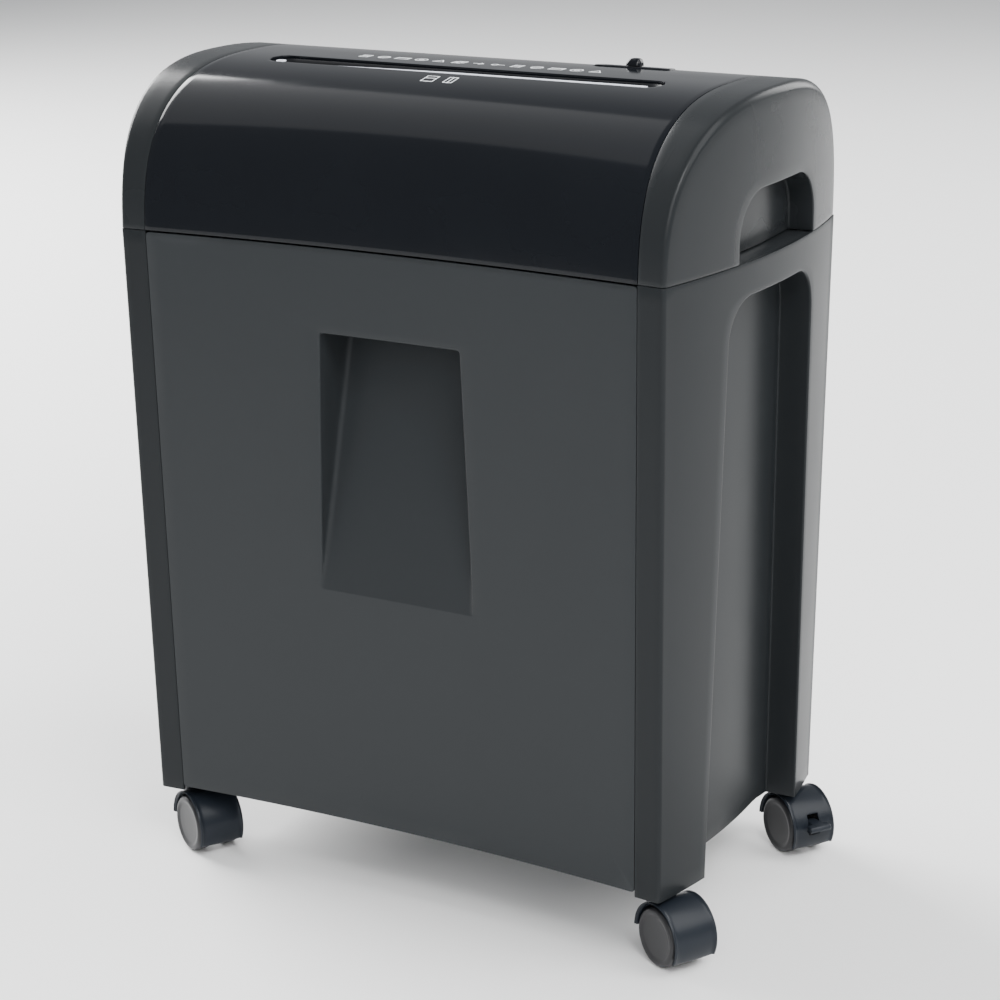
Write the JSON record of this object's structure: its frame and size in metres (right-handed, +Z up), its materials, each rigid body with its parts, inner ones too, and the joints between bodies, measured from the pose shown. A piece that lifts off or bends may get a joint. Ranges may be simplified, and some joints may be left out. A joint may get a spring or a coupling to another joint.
{
  "type": "paper shredder",
  "caption": "Cross-cut paper shredder: a rounded motor head with a paper slot over a tapered cabinet, a pull-out waste bin and swivelling casters.",
  "frame": {"origin": "on the floor, under the middle of the object", "axes": "+Z up, front (bin side) towards -Y, +X to the right as seen from the front"},
  "size_m": [0.3922, 0.2216, 0.4743],
  "materials": {
    "satin_charcoal": "satin, fine moulded texture",
    "gloss_black": "high gloss",
    "inner_plastic": "matt moulded",
    "hood_plastic": "satin",
    "wheel_plastic": "satin, worn",
    "cutter_steel": "turned and ground",
    "plate_steel": "zinc plated sheet",
    "bearing_bronze": "sintered",
    "gear_nylon": "greased nylon",
    "board_green": "lacquered laminate",
    "signal_plastic": "plain moulded",
    "bush_rubber": "matt"
  },
  "bodies": {
    "housing": {"side_frame_right": "satin_charcoal", "side_frame_left": "satin_charcoal", "cabinet_side_right": "inner_plastic", "cabinet_side_left": "inner_plastic", "rear_panel": "satin_charcoal", "base_panel": "inner_plastic", "top_cover": "gloss_black", "end_cap_right": "satin_charcoal", "end_cap_left": "satin_charcoal", "head_tray": "inner_plastic", "throat_liner": "inner_plastic", "slider_bezel": "gloss_black", "cord_inlet": "bush_rubber", "side_plate_right": "plate_steel", "side_plate_left": "plate_steel", "tie_rod_1": "cutter_steel", "tie_rod_2": "cutter_steel", "bearing_front_right": "bearing_bronze", "bearing_front_left": "bearing_bronze", "bearing_rear_right": "bearing_bronze", "bearing_rear_left": "bearing_bronze", "stripper_comb_front": "inner_plastic", "stripper_comb_rear": "inner_plastic", "motor": "plate_steel", "circuit_board": "board_green", "bin_switch": "inner_plastic"},
    "waste_bin": {"bin_front": "satin_charcoal", "bin_tub": "inner_plastic"},
    "slider": {"mode_slider": "inner_plastic"},
    "rear_shaft": {"cutter_rear": "cutter_steel", "sync_gear_rear": "gear_nylon", "drive_gear": "gear_nylon"},
    "front_shaft": {"cutter_front": "cutter_steel", "sync_gear_front": "gear_nylon"},
    "reduction": {"reduction_gear": "gear_nylon"},
    "rotor": {"motor_pinion": "gear_nylon"},
    "plunger": {"switch_plunger": "signal_plastic"},
    "paper_flap": {"paper_sensor": "signal_plastic"},
    "caster_front_right": {"caster_hood_front_right": "hood_plastic", "caster_stem_front_right": "cutter_steel", "caster_axle_front_right": "cutter_steel"},
    "wheel_inner_front_right": {"wheel_inner_front_right": "wheel_plastic"},
    "wheel_outer_front_right": {"wheel_outer_front_right": "wheel_plastic"},
    "caster_front_left": {"caster_hood_front_left": "hood_plastic", "caster_stem_front_left": "cutter_steel", "caster_axle_front_left": "cutter_steel"},
    "wheel_inner_front_left": {"wheel_inner_front_left": "wheel_plastic"},
    "wheel_outer_front_left": {"wheel_outer_front_left": "wheel_plastic"},
    "caster_rear_right": {"caster_hood_rear_right": "hood_plastic", "caster_stem_rear_right": "cutter_steel", "caster_axle_rear_right": "cutter_steel"},
    "wheel_inner_rear_right": {"wheel_inner_rear_right": "wheel_plastic"},
    "wheel_outer_rear_right": {"wheel_outer_rear_right": "wheel_plastic"},
    "brake_rear_right": {"brake_lever_rear_right": "hood_plastic"},
    "caster_rear_left": {"caster_hood_rear_left": "hood_plastic", "caster_stem_rear_left": "cutter_steel", "caster_axle_rear_left": "cutter_steel"},
    "wheel_inner_rear_left": {"wheel_inner_rear_left": "wheel_plastic"},
    "wheel_outer_rear_left": {"wheel_outer_rear_left": "wheel_plastic"},
    "brake_rear_left": {"brake_lever_rear_left": "hood_plastic"}
  },
  "joints": [
    {"name": "bin_slide", "type": "slide", "parent": "housing", "child": "waste_bin", "axis": [0, -1, 0], "range_m": [0, 0.19]},
    {"name": "mode_slide", "type": "slide", "parent": "housing", "child": "slider", "axis": [1, 0, 0], "range_m": [-0.011, 0.011]},
    {"name": "rear_cutter_spin", "type": "hinge", "parent": "housing", "child": "rear_shaft", "pos_m": [0, -0.0035, 0.409], "axis": [1, 0, 0], "continuous": true},
    {"name": "front_cutter_spin", "type": "hinge", "parent": "housing", "child": "front_shaft", "pos_m": [0, -0.0375, 0.409], "axis": [1, 0, 0], "continuous": true},
    {"name": "reduction_spin", "type": "hinge", "parent": "housing", "child": "reduction", "pos_m": [0, 0.01954, 0.43297], "axis": [1, 0, 0], "continuous": true},
    {"name": "motor_spin", "type": "hinge", "parent": "housing", "child": "rotor", "pos_m": [0, 0.0495, 0.413], "axis": [1, 0, 0], "continuous": true},
    {"name": "plunger_press", "type": "slide", "parent": "housing", "child": "plunger", "axis": [0, 1, 0], "range_m": [0, 0.003], "stiffness_N_per_m": 100, "springref_m": -0.01},
    {"name": "paper_flap_swing", "type": "hinge", "parent": "housing", "child": "paper_flap", "pos_m": [0, -0.0085, 0.444], "axis": [1, 0, 0], "range_deg": [0, 25], "stiffness_Nm_per_rad": 0.002, "springref_deg": -17.19},
    {"name": "swivel_front_right", "type": "hinge", "parent": "housing", "child": "caster_front_right", "pos_m": [0.1575, -0.082, 0.04], "axis": [0, 0, 1], "continuous": true},
    {"name": "roll_inner_front_right", "type": "hinge", "parent": "caster_front_right", "child": "wheel_inner_front_right", "pos_m": [0.16975, -0.08879, 0.017], "axis": [0.4848, 0.8746, 0], "continuous": true},
    {"name": "roll_outer_front_right", "type": "hinge", "parent": "caster_front_right", "child": "wheel_outer_front_right", "pos_m": [0.16975, -0.08879, 0.017], "axis": [0.4848, 0.8746, 0], "continuous": true},
    {"name": "swivel_front_left", "type": "hinge", "parent": "housing", "child": "caster_front_left", "pos_m": [-0.1575, -0.082, 0.04], "axis": [0, 0, 1], "continuous": true},
    {"name": "roll_inner_front_left", "type": "hinge", "parent": "caster_front_left", "child": "wheel_inner_front_left", "pos_m": [-0.14525, -0.08879, 0.017], "axis": [0.4848, 0.8746, 0], "continuous": true},
    {"name": "roll_outer_front_left", "type": "hinge", "parent": "caster_front_left", "child": "wheel_outer_front_left", "pos_m": [-0.14525, -0.08879, 0.017], "axis": [0.4848, 0.8746, 0], "continuous": true},
    {"name": "swivel_rear_right", "type": "hinge", "parent": "housing", "child": "caster_rear_right", "pos_m": [0.1575, 0.086, 0.04], "axis": [0, 0, 1], "continuous": true},
    {"name": "roll_inner_rear_right", "type": "hinge", "parent": "caster_rear_right", "child": "wheel_inner_rear_right", "pos_m": [0.16911, 0.07817, 0.017], "axis": [0.5592, 0.829, 0], "continuous": true},
    {"name": "roll_outer_rear_right", "type": "hinge", "parent": "caster_rear_right", "child": "wheel_outer_rear_right", "pos_m": [0.16911, 0.07817, 0.017], "axis": [0.5592, 0.829, 0], "continuous": true},
    {"name": "press_brake_rear_right", "type": "hinge", "parent": "caster_rear_right", "child": "brake_rear_right", "pos_m": [0.1803, 0.07062, 0.022], "axis": [0.5592, 0.829, 0], "range_deg": [0, 15]},
    {"name": "swivel_rear_left", "type": "hinge", "parent": "housing", "child": "caster_rear_left", "pos_m": [-0.1575, 0.086, 0.04], "axis": [0, 0, 1], "continuous": true},
    {"name": "roll_inner_rear_left", "type": "hinge", "parent": "caster_rear_left", "child": "wheel_inner_rear_left", "pos_m": [-0.16911, 0.07817, 0.017], "axis": [0.5592, -0.829, 0], "continuous": true},
    {"name": "roll_outer_rear_left", "type": "hinge", "parent": "caster_rear_left", "child": "wheel_outer_rear_left", "pos_m": [-0.16911, 0.07817, 0.017], "axis": [0.5592, -0.829, 0], "continuous": true},
    {"name": "press_brake_rear_left", "type": "hinge", "parent": "caster_rear_left", "child": "brake_rear_left", "pos_m": [-0.1803, 0.07062, 0.022], "axis": [0.5592, -0.829, 0], "range_deg": [0, 15]}
  ],
  "couplings": [
    {"joint": "front_cutter_spin", "follows": "rear_cutter_spin", "ratio": -1},
    {"joint": "reduction_spin", "follows": "rear_cutter_spin", "ratio": -1.7143},
    {"joint": "motor_spin", "follows": "rear_cutter_spin", "ratio": 5.1429}
  ]
}
